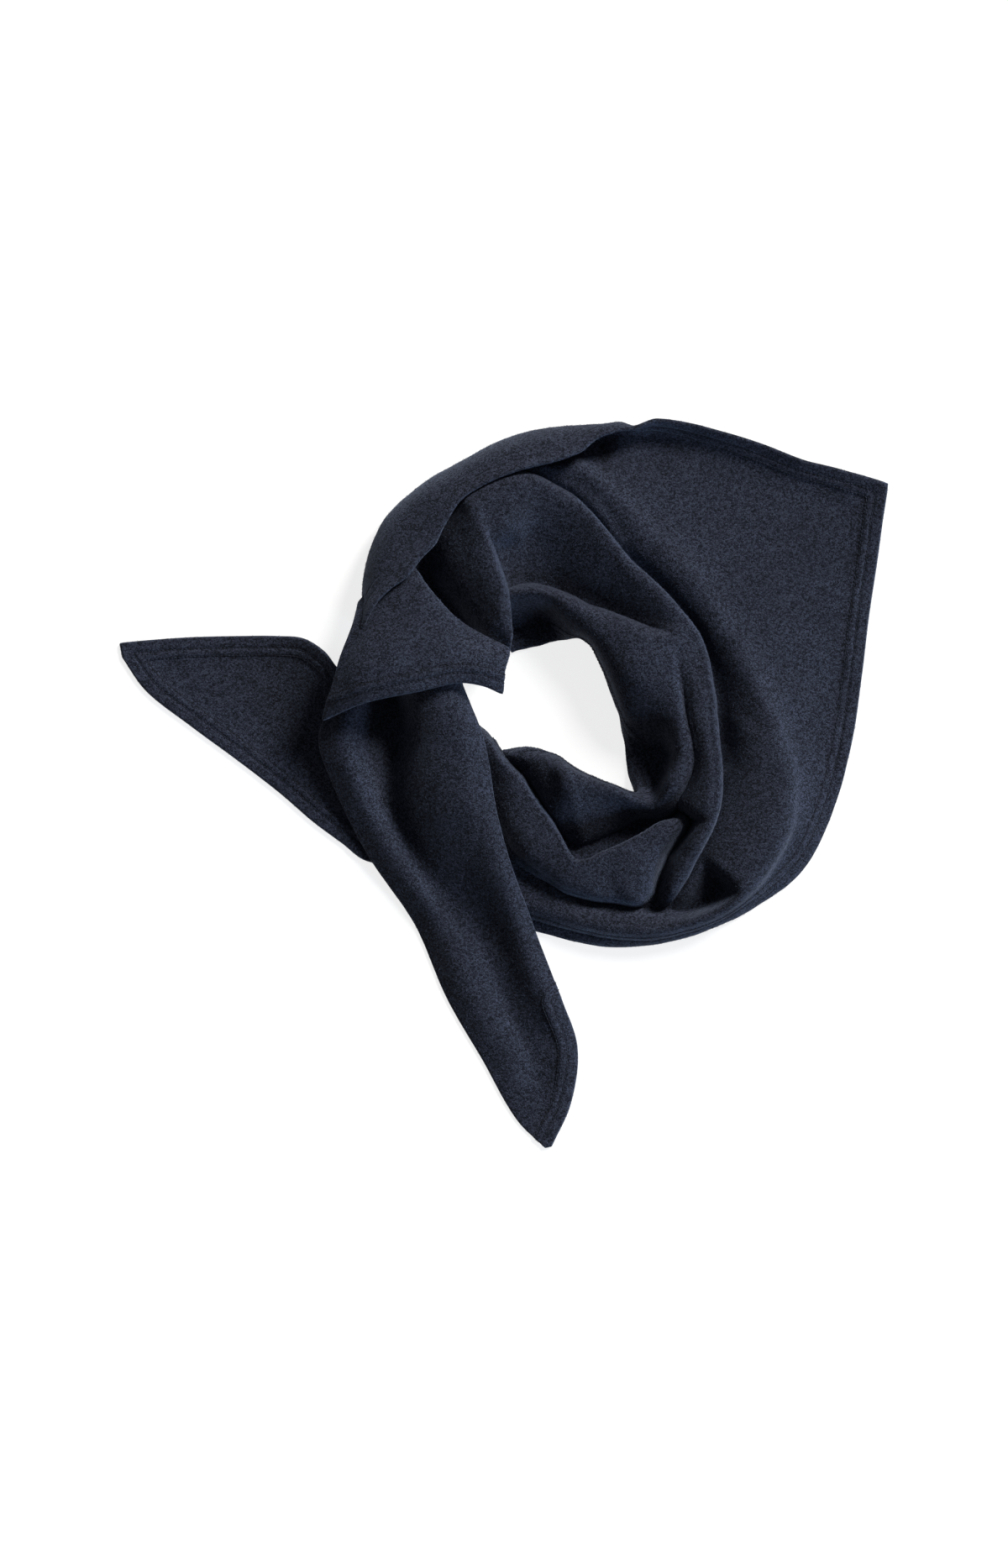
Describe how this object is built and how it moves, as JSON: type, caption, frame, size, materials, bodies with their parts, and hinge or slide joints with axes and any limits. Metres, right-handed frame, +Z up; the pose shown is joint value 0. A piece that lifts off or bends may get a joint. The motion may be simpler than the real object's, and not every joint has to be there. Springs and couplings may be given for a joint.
{
  "type": "knitted triangle scarf",
  "caption": "Navy wool-knit triangle scarf with topstitched hems, wound into a loose neck loop and laid flat with both tails out.",
  "frame": {"origin": "middle of the laid scarf's outline, on the surface it lies on", "axes": "+Z up from the surface; +X towards the right-angle point; +Y towards the turned-over edge, away from the hanging tail"},
  "size_m": [0.6376, 0.6058, 0.0585],
  "materials": {
    "wool_knit": "matte milled wool knit, dark navy melange"
  },
  "bodies": {
    "root": {"inner_roll_top": "wool_knit", "inner_roll_side": "wool_knit", "inner_roll_low": "wool_knit", "crossing_fold": "wool_knit", "collar_fold_top": "wool_knit", "collar_fold_side": "wool_knit", "collar_fold_low": "wool_knit", "crossing_strip": "wool_knit", "lower_arc": "wool_knit", "point_panel_top": "wool_knit", "point_panel_side": "wool_knit", "outer_fold_top": "wool_knit", "turned_edge": "wool_knit", "left_tail": "wool_knit", "crossing_layers": "wool_knit", "crossing_flap": "wool_knit", "down_tail": "wool_knit"}
  },
  "joints": []
}
